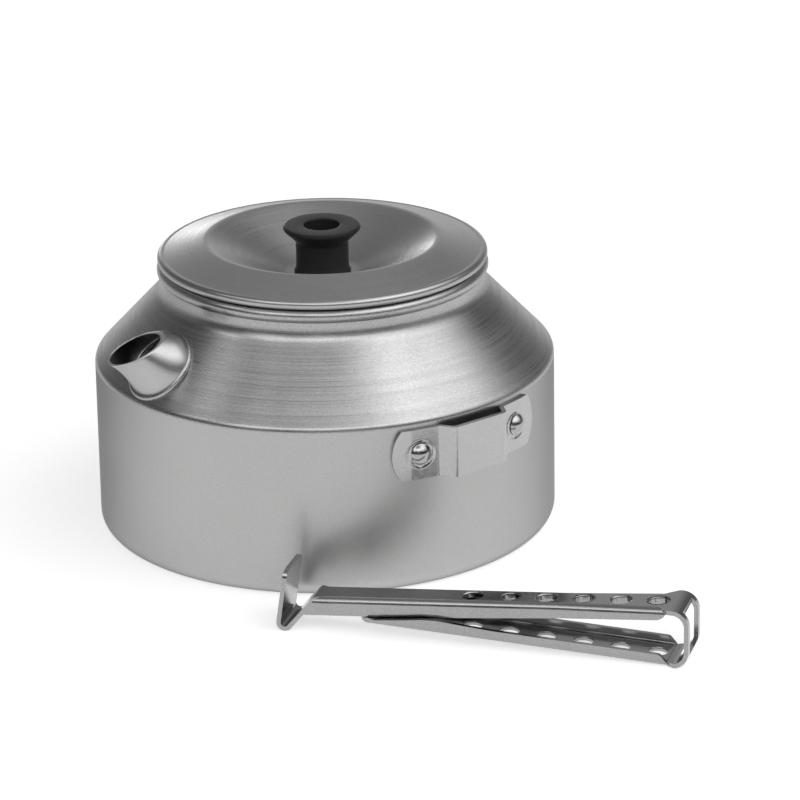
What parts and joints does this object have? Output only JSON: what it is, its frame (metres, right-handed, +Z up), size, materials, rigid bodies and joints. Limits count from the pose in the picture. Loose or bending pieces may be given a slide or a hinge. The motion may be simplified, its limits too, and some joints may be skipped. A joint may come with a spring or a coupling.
{
  "type": "camping kettle",
  "caption": "Squat spun aluminium camping kettle with a flared spout, dished lift-off lid, black spool knob, hat-section grip bracket and a loose sprung pot gripper.",
  "frame": {"origin": "centre of the kettle's flat base, on the floor", "axes": "+Z up along the kettle's axis; -Y towards the front, where the loose gripper lies; +X to the right"},
  "size_m": [0.2008, 0.2275, 0.1064],
  "materials": {
    "spun_aluminium": "satin, blasted wall with fine spinning rings on the cone",
    "pressed_aluminium": "smooth satin",
    "lid_aluminium": "satin with a bright folded edge",
    "bracket_metal": "smooth rolled sheet, slightly bright",
    "rivet_metal": "bright domed heads",
    "black_plastic": "moulded, slight sheen",
    "screw_steel": "plated",
    "gripper_steel": "rolled strip, tumbled, semi-bright"
  },
  "bodies": {
    "kettle": {"kettle_body": "spun_aluminium", "spout": "pressed_aluminium", "handle_bracket": "bracket_metal", "bracket_rivets": "rivet_metal"},
    "lid": {"lid_cover": "lid_aluminium", "lid_knob": "black_plastic", "knob_screw": "screw_steel", "knob_washer": "screw_steel", "knob_nut": "screw_steel"},
    "gripper": {"gripper_upper_arm": "gripper_steel", "gripper_spring_bow": "gripper_steel"},
    "gripper_lower": {"gripper_lower_arm": "gripper_steel"}
  },
  "joints": [
    {"name": "lid_lift", "type": "slide", "parent": "kettle", "child": "lid", "axis": [0, 0, 1], "range_m": [0, 0.08]},
    {"name": "gripper_lift", "type": "slide", "parent": "kettle", "child": "gripper", "axis": [0, 0, 1], "range_m": [0, 0.08]},
    {"name": "gripper_squeeze", "type": "hinge", "parent": "gripper", "child": "gripper_lower", "pos_m": [0.01196, -0.1063, 0.0065], "axis": [-0.2924, -0.9563, 0], "range_deg": [0, 4], "stiffness_Nm_per_rad": 4, "springref_deg": -1.15, "deforming": ["gripper_spring_bow"]}
  ]
}
